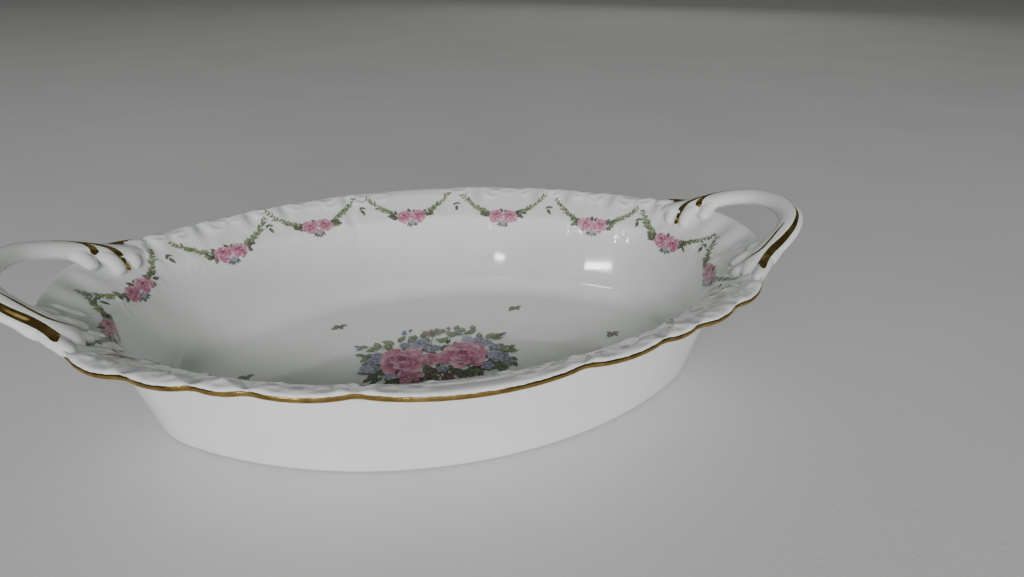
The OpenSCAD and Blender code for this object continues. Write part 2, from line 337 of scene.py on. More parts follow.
def relief(grid_g, grid_v, turn):
    """Height of the moulded relief over the plain lip and wall."""
    height = np.zeros(grid_g.shape)
    quarter = GIRTH / 4
    notch_g = [girth_at_x(x) for x in [*NOTCHES, GILT_END]]
    folded = quarter - np.abs(np.mod(grid_g, GIRTH / 2) - quarter)
    add_valleys(height, folded, grid_v, notch_g)
    add_flutes(height, folded, grid_v, turn)
    for middle in (0, GIRTH / 2):
        for side in (-1, 1):
            add_scrolls(height, grid_g, grid_v, middle, side, notch_g)
    add_ribs(height, grid_g, grid_v)
    return height * np.clip((grid_v - 0.6) / 2.2, 0, 1) * np.clip((34 - grid_v) / 6, 0, 1)


# ---- the grid of the body ----

def body_grid():
    """The whole skin of the casting, in rows from under the floor round to its top."""
    outer, inner = outer_chain(), inner_chain()
    rounded = edge_chain(outer[-1], inner[0])
    chain = np.concatenate([outer, rounded, inner])
    far = distances(chain)
    row_v = far - far[len(outer) + len(rounded) // 2]
    g = np.arange(COLUMNS) * GIRTH / COLUMNS
    turn = turn_at(g)
    rim_x = np.abs(oval_point(turn, 0)[0])
    share = np.clip((chain[:, 0] + 17) / 17, 0, 1)[:, None] ** 1.6
    edge = edge_offset(rim_x)
    out = chain[:, :1] + share * edge[None]
    x, y = oval_point(turn[None], out)
    # the edge rises towards the handles, dips at every scallop and rises again at every notch
    ripple = -0.45 * edge * np.clip((GILT_END - rim_x) / 8, 0, 1)
    lift = END_LIFT * np.abs(np.cos(turn)) ** 4 + ripple
    z = chain[:, 1:] + share**1.3 * lift[None]
    points = np.stack([x, y, z], -1)
    height = np.zeros(x.shape)
    top = row_v > 0
    grid_g, grid_v = np.meshgrid(g, row_v[top])
    height[top] = relief(grid_g, grid_v, np.broadcast_to(turn, grid_g.shape))
    points = points + height[..., None] * grid_normals(points)
    return points, height, row_v


def grid_normals(points):
    """Outward unit normals of a grid whose columns close on themselves."""
    along = np.roll(points, -1, 1) - np.roll(points, 1, 1)
    across = np.gradient(points, axis=0)
    normal = np.cross(along, across)
    return normal / np.maximum(np.linalg.norm(normal, axis=-1, keepdims=True), 1e-9)


grid, grid_height, row_v = body_grid()
normals = grid_normals(grid)


def on_wall(g, v, lift=0.0):
    """Points on the finished inner face at (g, v), raised by lift."""
    column = np.mod(np.asarray(g, float), GIRTH) / GIRTH * COLUMNS
    row = np.interp(v, row_v, np.arange(len(row_v)))
    c0 = np.floor(column).astype(int) % COLUMNS
    c1 = (c0 + 1) % COLUMNS
    r0 = np.minimum(np.floor(row).astype(int), len(row_v) - 2)
    fc, fr = (column % 1)[..., None], (row - r0)[..., None]

    def blend(field):
        low = field[r0, c0] * (1 - fc) + field[r0, c1] * fc
        high = field[r0 + 1, c0] * (1 - fc) + field[r0 + 1, c1] * fc
        return low * (1 - fr) + high * fr

    return blend(grid) + np.asarray(lift)[..., None] * blend(normals)


def wall_shrink(g, v):
    """Length of a step round the wall at (g, v), over its length round the rim oval."""
    step = GIRTH / COLUMNS
    ends = on_wall(np.array([g - step, g + step]), np.array([v, v]))
    return float(np.linalg.norm(ends[1] - ends[0])) / (2 * step)


# ---- making pieces ----

def make_piece(name, points, faces, material, smooth=True):
    mesh = bpy.data.meshes.new(name)
    mesh.from_pydata((np.asarray(points) * MM).tolist(), [], faces)
    mesh.validate()
    if smooth:
        mesh.polygons.foreach_set("use_smooth", [True] * len(mesh.polygons))
    mesh.materials.append(material)
    piece = bpy.data.objects.new(name, mesh)
    bpy.context.scene.collection.objects.link(piece)
    return piece


def add_values(piece, name, values):
    attribute = piece.data.attributes.new(name, "FLOAT", "POINT")
    attribute.data.foreach_set("value", np.asarray(values, np.float32).ravel())


def add_tints(piece, name, tints):
    attribute = piece.data.color_attributes.new(name, "FLOAT_COLOR", "POINT")
    rgba = np.concatenate([np.asarray(tints), np.ones((len(tints), 1))], 1)
    attribute.data.foreach_set("color", rgba.astype(np.float32).ravel())


def grid_faces(rows, columns, closed):
    """Quads of a grid of rows by columns, whose columns close on themselves or not."""
    faces = []
    for r in range(rows - 1):
        for c in range(columns if closed else columns - 1):
            n = (c + 1) % columns
            below, above = r * columns, (r + 1) * columns
            faces.append((below + c, below + n, above + n, above + c))
    return faces


def add_fans(faces, around, base, first, last):
    """Closes a tube: its ring 0 to the point first, and the ring that starts at base to last."""
    for c in range(around):
        n = (c + 1) % around
        faces.append((first, n, c))
        faces.append((last, base + c, base + n))


# ---- materials ----

class Nodes:
    """A short way to write a node tree."""

    def __init__(self, name):
        self.material = bpy.data.materials.new(name)
        self.material.use_nodes = True
        self.tree = self.material.node_tree
        self.shader = self.tree.nodes["Principled BSDF"]
        self.place = self.add("ShaderNodeTexCoord").outputs["Object"]

    def add(self, kind, **values):
        node = self.tree.nodes.new(kind)
        for key, value in values.items():
            setattr(node, key, value)
        return node

    def feed(self, node, inputs):
        """Links or sets the node's inputs, given by name or number."""
        for key, value in inputs.items():
            if isinstance(value, bpy.types.NodeSocket):
                self.tree.links.new(value, node.inputs[key])
            else:
                node.inputs[key].default_value = value
        return node.outputs

    def noise(self, scale, detail=3.0, roughness=0.55, distortion=0.0):
        inputs = {"Vector": self.place, "Scale": scale, "Detail": detail}
        inputs.update({"Roughness": roughness, "Distortion": distortion})
        return self.feed(self.add("ShaderNodeTexNoise"), inputs)["Fac"]

    def attribute(self, name, output="Fac"):
        return self.add("ShaderNodeAttribute", attribute_name=name).outputs[output]

    def ramp(self, source, stops):
        node = self.add("ShaderNodeValToRGB")
        elements = node.color_ramp.elements
        while len(elements) < len(stops):
            elements.new(0.5)
        for element, (place, colour) in zip(elements, stops):
            element.position = place
            element.color = (*colour, 1)
        return self.feed(node, {"Fac": source})["Color"]

    def span(self, source, low, high, out_low, out_high):
        limits = {"From Min": low, "From Max": high, "To Min": out_low, "To Max": out_high}
        return self.feed(self.add("ShaderNodeMapRange"), {"Value": source, **limits})["Result"]

    def mix(self, share, first, second, blend="MIX"):
        """A mix of two colours; a colour may be a socket or three numbers."""
        node = self.add("ShaderNodeMix", data_type="RGBA", blend_type=blend)
        first, second = (c if isinstance(c, bpy.types.NodeSocket) else (*c, 1) for c in (first, second))
        return self.feed(node, {0: share, 6: first, 7: second})[2]

    def bump(self, height, distance, strength=1.0, normal=None):
        inputs = {"Strength": strength, "Distance": distance, "Height": height}
        if normal is not None:
            inputs["Normal"] = normal
        return self.feed(self.add("ShaderNodeBump"), inputs)["Normal"]

    def set(self, **values):
        self.feed(self.shader, {key.replace("_", " "): value for key, value in values.items()})
        return self.material


def porcelain_material():
    """White glazed porcelain: cool, dry on the foot ring, and darker and greener in the dips of the relief,
    partly from pooled glaze and partly as painted shade.
    """
    m = Nodes("porcelain_glaze")
    clouds = m.noise(26, 4)
    whites = [(0.3, (0.76, 0.79, 0.765)), (0.55, (0.8, 0.822, 0.806)), (0.75, (0.83, 0.842, 0.828))]
    body = m.ramp(clouds, whites)
    # the hollow attribute darkens the dips of the relief: the pooled glaze's tint plus painted shade
    pooled_and_shaded = m.mix(m.attribute("hollow"), body, (0.6, 0.655, 0.625))
    specks = m.span(m.noise(900, 2), 0.735, 0.76, 0, 0.35)
    speckled = m.mix(specks, pooled_and_shaded, (0.42, 0.4, 0.36))
    dry = m.attribute("dry_foot")
    colour = m.mix(dry, speckled, (0.74, 0.71, 0.65))
    glaze = m.span(m.noise(140, 3), 0.3, 0.7, 0.04, 0.075)
    roughness = m.mix(dry, glaze, (0.62, 0.62, 0.62))
    wavy = m.bump(m.noise(60, 2), 0.00005, 0.45)
    grainy = m.bump(m.noise(1500, 2), 0.000004, 0.5, wavy)
    return m.set(
        Base_Color=colour, Roughness=roughness, Normal=grainy, IOR=1.52, Coat_Weight=0.35,
        Coat_Roughness=0.02, Subsurface_Weight=0.06, Subsurface_Scale=0.002,
        Subsurface_Radius=(1.0, 0.9, 0.8),
    )


def gold_material():
    """Burnished gilding with brush unevenness, tiny scratches and rubbed spots."""
    m = Nodes("burnished_gold")
    golds = [(0.3, (0.25, 0.155, 0.045)), (0.55, (0.45, 0.305, 0.1)), (0.8, (0.7, 0.51, 0.21))]
    body = m.ramp(m.noise(220, 4), golds)
    rubbed = m.span(m.noise(520, 5, 0.7), 0.63, 0.72, 0, 0.45)
    colour = m.mix(rubbed, body, (0.36, 0.23, 0.1))
    shine = m.span(m.noise(340, 4), 0.3, 0.75, 0.07, 0.18)
    brushed = m.bump(m.noise(800, 3, 0.6, 1.5), 0.00003, 0.5)
    return m.set(
        Base_Color=colour, Roughness=shine, Normal=brushed, Metallic=1.0,
        Specular_Tint=(1.0, 0.9, 0.7, 1.0),
    )


def print_material(name, grain):
    """Ceramic colours printed under a gloss: tint from the strokes, broken up by a fine screen."""
    m = Nodes(name)
    tint = m.attribute("tint", "Color")
    wash = m.ramp(m.noise(grain, 4), [(0.25, (0.78, 0.78, 0.78)), (0.6, (1.0, 1.0, 1.0))])
    shaded = m.mix(0.75, tint, wash, "MULTIPLY")
    thin = m.span(m.noise(grain * 2.7, 3), 0.55, 0.75, 0, 0.16)
    colour = m.mix(thin, shaded, (0.74, 0.76, 0.73))
    shine = m.span(m.noise(300, 3), 0.3, 0.7, 0.12, 0.24)
    printed = m.bump(m.noise(1300, 3), 0.00001, 0.4)
    return m.set(
        Base_Color=colour, Roughness=shine, Normal=printed, IOR=1.5, Coat_Weight=0.25, Coat_Roughness=0.05,
    )


def floor_material():
    """Pale painted table top with a faint brushed texture."""
    m = Nodes("table_paint")
    body = m.ramp(m.noise(7, 5), [(0.3, (0.64, 0.64, 0.64)), (0.7, (0.69, 0.69, 0.685))])
    texture = m.bump(m.noise(420, 4, 0.6), 0.0003, 0.3)
    return m.set(Base_Color=body, Roughness=0.62, Normal=texture, Specular_IOR_Level=0.3)


porcelain = porcelain_material()
gold = gold_material()
garland_ink = print_material("garland_ink", 900)
bouquet_ink = print_material("bouquet_ink", 700)
sprig_ink = print_material("sprig_ink", 900)


# ---- the body ----

def glaze_pool_and_shade(rows_before, total):
    """How much each place of the skin is darkened and greened, for pooled glaze and painted shade: most in
    the dips of the relief.
    """
    pooled_and_shaded = np.zeros((total, COLUMNS))
    soft = grid_height.copy()
    for _ in range(6):
        soft = (np.roll(soft, 1, 1) + np.roll(soft, -1, 1) + 2 * soft) / 4
        soft[1:-1] = (soft[:-2] + soft[2:] + 2 * soft[1:-1]) / 4
    pooled_and_shaded[rows_before:rows_before + len(row_v)] = np.clip((soft - grid_height) * 1.6, 0, 0.8)
    return pooled_and_shaded


def make_body():
    """The whole skin of the casting, its floor and underside closed towards the middle."""
    shrink = [0.86, 0.68, 0.48, 0.28, 0.1]
    under = [grid[0] * [s, s, 1] for s in reversed(shrink)]
    floor = [grid[-1] * [s, s, 1] for s in shrink]
    points = np.concatenate([under, grid, floor]).reshape(-1, 3)
    total = len(row_v) + 2 * len(shrink)
    faces = grid_faces(total, COLUMNS, True)
    add_fans(faces, COLUMNS, (total - 1) * COLUMNS, len(points), len(points) + 1)
    centres = [[0, 0, grid[0, 0, 2]], [0, 0, grid[-1, 0, 2]]]
    points = np.concatenate([points, centres])
    body = make_piece("porcelain_body", points, faces, porcelain)
    # hollow holds the darkening of the relief's dips: pooled glaze tint and painted shade
    add_values(body, "hollow", np.append(glaze_pool_and_shade(len(shrink), total).ravel(), [0, 0]))
    dry = (points[:, 2] < 0.35) & (np.abs(points[:, 0]) + np.abs(points[:, 1]) > 1)
    add_values(body, "dry_foot", dry)
    return body


# ---- gilding of the rim ----

RIM_GOLD_ACROSS = 7


def gold_line(g, inner, outer):
    """Band on the rim's edge at the places g, from v = outer, under the edge, to v = inner."""
    shares = np.linspace(0, 1, RIM_GOLD_ACROSS)
    v = outer[:, None] * (1 - shares) + inner[:, None] * shares
    lift = 0.24 * np.sin(math.pi * shares) ** 0.6 - 0.02
    places = np.repeat(g[:, None], RIM_GOLD_ACROSS, 1)
    return on_wall(places, v, np.broadcast_to(lift, v.shape))


def make_rim_gilding(name, middle):
    """The gilding of one long side of the edge, round the place g = middle, a little wavering."""
    reach = girth_at_x(GILT_END)
    g = np.linspace(-reach, reach, 620)
    waver = 0.10 * np.sin(g * 0.9) + 0.07 * np.sin(g * 2.3 + 1) + 0.05 * np.sin(g * 5.1 + 2)
    taper = np.clip((reach - np.abs(g)) / 2.5, 0.12, 1) ** 0.5
    outer = -(1.75 + waver) * taper
    inner = (0.95 + 0.6 * waver) * taper
    points = gold_line(middle + g, inner, outer)
    faces = grid_faces(len(g), RIM_GOLD_ACROSS, False)
    return make_piece(name, points.reshape(-1, 3), faces, gold)


# ---- handles ----

LOOP_HUB = np.array([HANDLE_END - 26.5, 0, 57.0])
FAR_LIMB = [
    (114.5, 38.0, 47.6), (120.0, 33.4, 49.6), (127.0, 28.8, 52.6), (135.0, 24.9, 55.9),
    (142.6, 19.4, 58.9), (148.2, 11.6, 61.0),
]
CROWN = (150.4, 0, 61.9)
# The handle's points are written for a handle that ends here
WRITTEN_END = 155.3


def fitted(points, side=1, front=1):
    """The handle's points, moved to where this handle ends, and mirrored by side and front."""
    return [(side * (x + HANDLE_END - WRITTEN_END), front * y, *z) for x, y, *z in points]


def loop_path():
    """Centre line of the right handle's strap, from the near root over the crown to the far one."""
    return catmull(fitted(FAR_LIMB, front=-1) + fitted([CROWN, *reversed(FAR_LIMB)]), 150)


def strap_frames(path):
    """Outward and upward directions along the strap."""
    tangent = unit(np.gradient(path, axis=0))
    out = path - LOOP_HUB
    out = unit(out - (out * tangent).sum(1)[:, None] * tangent)
    return out, np.cross(out, tangent)


GROOVE_TURN = math.radians(42)


def strap_mesh(path):
    """The strap: rounded, slimmer at its roots, with a groove along its upper outer side."""
    around = 48
    out, up = strap_frames(path)
    s = np.linspace(0, 1, len(path))
    fade = np.clip(np.minimum(s, 1 - s) / 0.1, 0, 1)
    half_width = 1.6 + 3.3 * np.sin(fade * math.pi / 2) ** 0.9
    half_thick = 1.4 + 2.0 * np.sin(fade * math.pi / 2) ** 0.9
    angle = np.linspace(0, TAU, around, endpoint=False)
    depth = 0.95 * bell(angle - GROOVE_TURN, 0.24)
    c, sn = np.cos(angle), np.sin(angle)
    rows = []
    for k in range(len(path)):
        wide, thick = half_width[k], half_thick[k]
        groove = depth * fade[k]
        flat = 1 - groove / np.hypot(wide * c, thick * sn)
        ring = path[k] + (wide * c * flat)[:, None] * out[k] + (thick * sn * flat)[:, None] * up[k]
        rows.append(ring)
    return np.array(rows)


def tube(points, radii, flat=1.0):
    """A tube through the points with those radii, squashed by flat, its end rounded."""
    count = 26
    path = catmull(points, count)
    far = np.linspace(0, 1, count)
    radius = np.interp(far, np.linspace(0, 1, len(radii)), radii)
    tangent = unit(np.gradient(path, axis=0))
    side = unit(np.cross(tangent, [0, 0, 1]))
    up = np.cross(side, tangent)
    angle = np.linspace(0, TAU, 20, endpoint=False)
    c, s = np.cos(angle)[:, None], np.sin(angle)[:, None]
    ends = np.sqrt(1 - np.clip((far - 0.8) / 0.205, 0, 1) ** 2)
    return np.array([
        path[k] + radius[k] * ends[k] * (c * side[k] + flat * s * up[k]) for k in range(count)
    ])


# Each lobe of a root fans out from the strap and sinks into the lip: points, and radii along them
LOBES = [
    ([(135, 26.5, 54.6), (127, 31.8, 51.9), (120.5, 32.8, 50.0), (116.3, 31, 47.6), (114.6, 27.6, 44.8)],
     [2.4, 3.2, 3.2, 2.8, 2.3]),
    ([(134, 26.5, 54.6), (127.5, 31.5, 52.4), (121.5, 37, 51.0), (116.8, 41.6, 50.0), (114.2, 44, 48.8)],
     [1.8, 2.4, 2.7, 2.4, 1.9]),
    ([(134, 25.5, 54.8), (126.5, 26.6, 52.0), (122, 25.4, 50.2), (119.6, 23.4, 47.5), (118.7, 21.2, 45.4)],
     [2.4, 3.3, 3.1, 2.7, 2.2]),
    ([(137, 23.4, 56.0), (131, 22.6, 53.8), (127.8, 20.6, 51.3), (126.4, 18.8, 49.4)], [2.2, 3.1, 2.9, 2.3]),
]


def closed_mesh(rows):
    """Points and faces of a tube with both ends closed by fans."""
    count, around = rows.shape[:2]
    points = np.concatenate([rows.reshape(-1, 3), [rows[0].mean(0), rows[-1].mean(0)]])
    faces = grid_faces(count, around, True)
    add_fans(faces, around, (count - 1) * around, count * around, count * around + 1)
    return points, faces


def fuse(piece):
    """Melts the overlapping parts of a piece into one soft skin."""
    remesh = piece.modifiers.new("fuse", "REMESH")
    remesh.mode = "VOXEL"
    remesh.voxel_size = 0.42 * MM
    soften = piece.modifiers.new("soften", "SMOOTH")
    soften.factor = 0.5
    soften.iterations = 5
    bpy.context.view_layer.update()
    fused = piece.evaluated_get(bpy.context.evaluated_depsgraph_get())
    raw_mesh = piece.data
    mesh = bpy.data.meshes.new_from_object(fused)
    piece.modifiers.clear()
    piece.data = mesh
    bpy.data.meshes.remove(raw_mesh)
    mesh.name = piece.name
    mesh.materials.clear()
    mesh.materials.append(porcelain)
    mesh.polygons.foreach_set("use_smooth", [True] * len(mesh.polygons))


def make_handle(name, side):
    """Strap and lobes fused into one soft casting. side is 1 on the right and -1 on the left."""
    parts = [strap_mesh(loop_path())]
    for path, radii in LOBES:
        parts += [tube(fitted(path, front=front), radii, 0.85) for front in (1, -1)]
    points, faces = [], []
    for rows in parts:
        append_part(points, faces, *closed_mesh(rows))
    handle = make_piece(name, np.array(points) * [side, 1, 1], faces, porcelain)
    fuse(handle)
    plain = np.zeros(len(handle.data.vertices))
    # the handles get no pooled glaze and no painted shade
    add_values(handle, "hollow", plain)
    add_values(handle, "dry_foot", plain)
    return handle


def surface_of(pieces):
    """A search tree over the outer surface of several pieces, in metres."""
    points, faces = [], []
    for piece in pieces:
        mesh = piece.data
        append_part(points, faces, [v.co.copy() for v in mesh.vertices], [p.vertices for p in mesh.polygons])
    return BVHTree.FromPolygons(points, faces)


STRIP_ACROSS = 6


def dropped(tree, wanted, aim, share, back, reach):
    """The surface below wanted along aim, raised most in the middle of the strip."""
    hit, normal, _, _ = tree.ray_cast(Vector((wanted - back * aim) * MM), Vector(aim), reach * MM)
    if hit is None:
        hit, normal, _, _ = tree.find_nearest(Vector(wanted * MM))
    rise = 0.07 * math.cos(share * math.pi * 0.9) + 0.01
    return np.array(hit) / MM + rise * np.array(normal)


def laid_strip(tree, places, widths, sides, aims, back, reach):
    """Rows of a strip, dropped on to the surface."""
    rows = [
        dropped(tree, place + width * share * side, aim, share, back, reach)
        for place, width, side, aim in zip(places, widths, sides, aims)
        for share in np.linspace(-0.5, 0.5, STRIP_ACROSS)
    ]
    return np.array(rows).reshape(-1, STRIP_ACROSS, 3)


def gold_strip(tree, path, widths):
    """A strip along the path, dropped straight down on to the surface, its end rounded."""
    count = 70
    path = catmull(path, count)
    far = np.linspace(0, 1, count)
    width = np.interp(far, np.linspace(0, 1, len(widths)), widths)
    width *= np.sqrt(1 - np.clip((far - 0.9) / 0.105, 0, 1) ** 2)
    aims = np.tile([0.0, 0.0, -1.0], (count, 1))
    sides = unit(np.cross(np.gradient(path, axis=0), aims))
    return laid_strip(tree, path, width, sides, aims, 10, 40)


def groove_gold(tree, flip):
    """The gold that fills the strap's groove, slimmer at the crown and at both ends."""
    path = loop_path()
    out, up = strap_frames(path)
    lean = math.cos(GROOVE_TURN) * out + math.sin(GROOVE_TURN) * up
    crest = path + 3.0 * lean
    sides = unit(np.cross(np.gradient(crest, axis=0), lean))
    count = len(crest)
    limb = np.abs(np.linspace(-1, 1, count))
    width = np.interp(limb, [0, 0.25, 0.6, 0.85, 0.93], [1.2, 1.7, 2.8, 2.2, 1.4])
    width *= np.sqrt(1 - np.clip((limb - 0.88) / 0.052, 0, 0.995) ** 2)
    part = slice(int(0.035 * count), int(0.965 * count) + 1)
    crest, sides, aims = ((rows * flip)[part] for rows in (crest, sides, -lean))
    return laid_strip(tree, crest, width[part], sides, aims, 4, 12)


# Gilt lines dropped on to the roots: plan points and widths. The far root has two hooks that
# end in a broad drop and a line down its back edge; the near root has one thin line.
HANDLE_LINES = [
    ([(139.0, 24.0), (133.5, 26.9), (128, 28.2), (123.4, 28.7), (119.8, 28.0), (118.0, 26.8), (117.6, 25.2)],
     [0.6, 1.1, 1.5, 1.9, 2.4, 3.0, 3.2]),
    ([(136.0, 25.8), (130.8, 26.5), (127.4, 25.5), (126.0, 23.9)], [0.6, 1.5, 2.4, 3.0]),
    ([(131.0, 33.6), (126.0, 37.4), (121.0, 41.4), (117.0, 44.6)], [0.5, 1.0, 1.1, 0.9]),
    ([(140.2, -19.8), (134.5, -23.4), (129.3, -26.8), (124.6, -29.3), (120.4, -30.2), (116.8, -29.4),
      (114.4, -28.0)], [0.4, 0.8, 0.9, 0.9, 0.8, 0.6, 0.4]),
]


def make_handle_gilding(name, side, tree):
    """Groove and root lines of one handle. side is 1 on the right and -1 on the left."""
    strips = [groove_gold(tree, np.array([side, 1, 1]))]
    for path, widths in HANDLE_LINES:
        strips.append(gold_strip(tree, [(x, y, 60) for x, y in fitted(path, side)], widths))
    points, faces = [], []
    for rows in strips:
        append_part(points, faces, rows.reshape(-1, 3), grid_faces(len(rows), STRIP_ACROSS, False))
    return make_piece(name, points, faces, gold)


# ---- prints ----

GREENS = [(0.085, 0.145, 0.03), (0.125, 0.19, 0.05), (0.055, 0.095, 0.022), (0.185, 0.24, 0.09)]
PALE_GREENS = [(0.19, 0.255, 0.085), (0.145, 0.2, 0.06), (0.26, 0.32, 0.14)]
DARK_GREENS = [(0.03, 0.055, 0.016), (0.05, 0.072, 0.022), (0.07, 0.036, 0.026)]
PINKS = [(0.62, 0.24, 0.36), (0.68, 0.31, 0.43), (0.54, 0.17, 0.28)]
DEEP_PINKS = [(0.23, 0.028, 0.08), (0.34, 0.062, 0.14)]
LIGHT_PINKS = [(0.74, 0.44, 0.54), (0.78, 0.53, 0.6)]
BLUES = [(0.11, 0.11, 0.25), (0.16, 0.155, 0.32), (0.075, 0.08, 0.165)]
LIGHT_BLUES = [(0.25, 0.25, 0.43), (0.3, 0.31, 0.47)]
VIOLETS = [(0.22, 0.18, 0.34), (0.27, 0.25, 0.4)]
COOL_GREENS = [(0.035, 0.075, 0.045), (0.06, 0.11, 0.065)]
BROWN = (0.22, 0.12, 0.035)
BRONZE = [(0.2, 0.1, 0.08), (0.28, 0.15, 0.13)]


def shade(tint, share):
    """The tint made darker, below 1, or lighter, above 1."""
    tint = np.array(tint, float)
    white = np.array([0.85, 0.86, 0.83])
    return tint * share if share <= 1 else tint + (white - tint) * (share - 1)


# Every stroke lies this much above the one before, so that no two strokes share a surface
LAYER_STEP = 0.0009


class Transfer:
    """Gathers the strokes of one print. place(a, b, lift) puts local millimetres on the bowl."""

    def __init__(self, place, seed):
        self.place = place
        self.rng = random.Random(seed)
        self.points, self.faces, self.tints, self.lifts = [], [], [], []
        self.layer = 0.07

    def pick(self, tints):
        return self.rng.choice(tints)

    def jitter(self, amount):
        return self.rng.uniform(-amount, amount)

    def add_stroke(self, points, tints, faces):
        """Adds a stroke, a hair above the strokes before it."""
        self.layer += LAYER_STEP
        append_part(self.points, self.faces, points, faces)
        self.tints += tints
        self.lifts += [self.layer] * len(points)

    def blade(self, a, b, turn, length, width, base, tip, fullness=0.8, blunt=1.0, bend=0.0, rib=1.15):
        """A leaf or petal from (a, b) along turn; fullness above 1 moves its widest part outward."""
        rows, across = 6, 5
        points, tints = [], []
        for r in range(rows):
            w = r / (rows - 1)
            half = width / 2 * max(math.sin(math.pi * min(1, w**fullness)), 0.04 if r else 0.1) ** blunt
            if r == rows - 1 and blunt < 0.8:
                half = width * 0.16
            tint = np.array(base) * (1 - w) + np.array(tip) * w
            for share in np.linspace(-1, 1, across):
                points.append((a - math.sin(turn) * half * share, b + math.cos(turn) * half * share))
                tints.append(shade(tint, rib - (rib - 0.86) * abs(share)))
            turn += bend / (rows - 1)
            a += math.cos(turn) * length / (rows - 1)
            b += math.sin(turn) * length / (rows - 1)
        self.add_stroke(points, tints, grid_faces(rows, across, False))

    def dot(self, a, b, radius, tint, rim=None):
        """A small round dab."""
        sides = 10
        points, tints, faces = [(a, b)], [shade(tint, 1.1)], []
        for k in range(sides):
            turn = k * TAU / sides
            r = radius * (1 + self.jitter(0.12))
            points.append((a + r * math.cos(turn), b + r * math.sin(turn)))
            tints.append(rim if rim is not None else shade(tint, 0.85))
            faces.append((0, 1 + k, 1 + (k + 1) % sides))
        self.add_stroke(points, tints, faces)

    def stem(self, points, width, tint):
        """A thin line through the points."""
        path = catmull([(*p, 0) for p in points], 4 * len(points))
        line, tints = [], []
        for k, (p, t) in enumerate(zip(path, np.gradient(path, axis=0))):
            size = math.hypot(t[0], t[1]) or 1
            half = width / 2 * (0.6 + 0.4 * math.sin(math.pi * k / (len(path) - 1)))
            for share in (-1, 1):
                line.append((p[0] - t[1] / size * half * share, p[1] + t[0] / size * half * share))
                tints.append(shade(tint, 1 + 0.08 * share))
        self.add_stroke(line, tints, grid_faces(len(path), 2, False))

    def leaf(self, a, b, turn, length, tints, plump=0.5):
        """A pointed leaf in one of the tints, slightly bent."""
        tint = self.pick(tints)
        base, tip = shade(tint, 0.85), shade(tint, 1.12)
        self.blade(a, b, turn, length, length * plump, base, tip, 0.85, 0.9, self.jitter(0.5))

    def rose(self, a, b, radius, squash=1.0):
        """A rose: a ragged skirt, then cupped petals with light rims round a deep, high heart."""
        self.dot(a, b, radius * 0.55, PINKS[2])
        rings = [(9, 0.42, 0.6), (8, 0.3, 0.56), (7, 0.19, 0.48), (5, 0.09, 0.38), (4, 0.03, 0.26)]
        for ring, (count, reach, size) in enumerate(rings):
            spin = self.jitter(1.0)
            for k in range(count):
                turn = spin + k * TAU / count + self.jitter(0.22)
                x = a + radius * reach * math.cos(turn)
                y = b + radius * reach * math.sin(turn) * squash + radius * 0.05 * ring
                long = radius * size * (1 + self.jitter(0.16))
                base = self.pick(DEEP_PINKS)
                tip = self.pick(LIGHT_PINKS if k % 2 else PINKS[:2])
                wide = long * (1.05 + self.jitter(0.2))
                way, bend = turn + self.jitter(0.35), self.jitter(0.5)
                self.blade(x, y, way, long, wide, base, tip, 1.8, 0.6, bend, 1.04)
                if k % 2:
                    fold = (long * 0.8, long * 0.16, DEEP_PINKS[0], PINKS[0])
                    self.blade(x, y, turn + 0.45, *fold, 0.9, 1.0, 0.5)
        for _ in range(16):
            turn, far = self.rng.uniform(0, TAU), radius * self.rng.uniform(0.22, 0.78)
            x, y = a + far * math.cos(turn), b + far * math.sin(turn) * squash
            self.blade(x, y, turn + 1.5, radius * 0.3, radius * 0.05, *DEEP_PINKS, 0.9, 1.0, 1.1)
        for k in range(5):
            turn = 1.0 + k * 1.25
            x = a + radius * 0.08 * math.cos(turn)
            y = b + radius * (0.20 + 0.08 * math.sin(turn))
            self.blade(x, y, turn + 1.5, radius * 0.3, radius * 0.09, *DEEP_PINKS, 0.9, 1.0, 1.8)

    def forget_me_not(self, a, b, radius, tints):
        """Five round petals about a dull yellow eye."""
        spin = self.jitter(1.0)
        for k in range(5):
            turn = spin + k * TAU / 5
            tint = self.pick(tints)
            base, tip = shade(tint, 0.9), shade(tint, 1.35)
            self.blade(a, b, turn, radius, radius * 0.95, base, tip, 1.6, 0.6, 0, 1.1)
        self.dot(a, b, radius * 0.22, (0.6, 0.45, 0.15), (0.45, 0.42, 0.45))


def make_prints(name, transfers, material):
    """One piece that holds all the strokes of the transfers."""
    points, faces, tints = [], [], []
    for t in transfers:
        flat = np.array(t.points)
        append_part(points, faces, t.place(flat[:, 0], flat[:, 1], np.array(t.lifts)), t.faces)
        tints.extend(t.tints)
    piece = make_piece(name, points, faces, material)
    add_tints(piece, "tint", np.clip(tints, 0, 1))
    return piece


# A garland's middle below the edge, how far its ends hang above its middle, and half its width
GARLAND_V = 21.0
GARLAND_DROP = 12.6
GARLAND_HALF = 20.4

# The prints are laid by hand, so each garland sits a little off its even place: (round, down)
LAID_OFF = [
    (2.4, -1.4), (1.1, -2.2), (-4.8, 0.8), (-0.8, 0.8), (-6, 1), (0.6, 4.4), (-0.8, 4.4),
    (0.5, 4.4), (-0.6, 4.4), (1, 4.4), (4.6, 3.6), (5.4, 3), (3.8, 1.8), (2.9, 0.3),
]


def wall_place(g0, v0):
    """Places local (right, up) millimetres on the wall round (g0, v0), true to size."""
    low, high = wall_shrink(g0, v0), wall_shrink(g0, v0 - GARLAND_DROP)

    def place(a, b, lift):
        shrink = low + (high - low) * np.clip(b / GARLAND_DROP, -0.4, 1.1)
        return on_wall(g0 - a / shrink, v0 - b, lift)

    return place


def laid_place(index):
    """Where a garland's middle was laid, as (g, v)."""
    round_off, down_off = LAID_OFF[index % len(LAID_OFF)]
    return index * GIRTH / GARLANDS + round_off, GARLAND_V + down_off


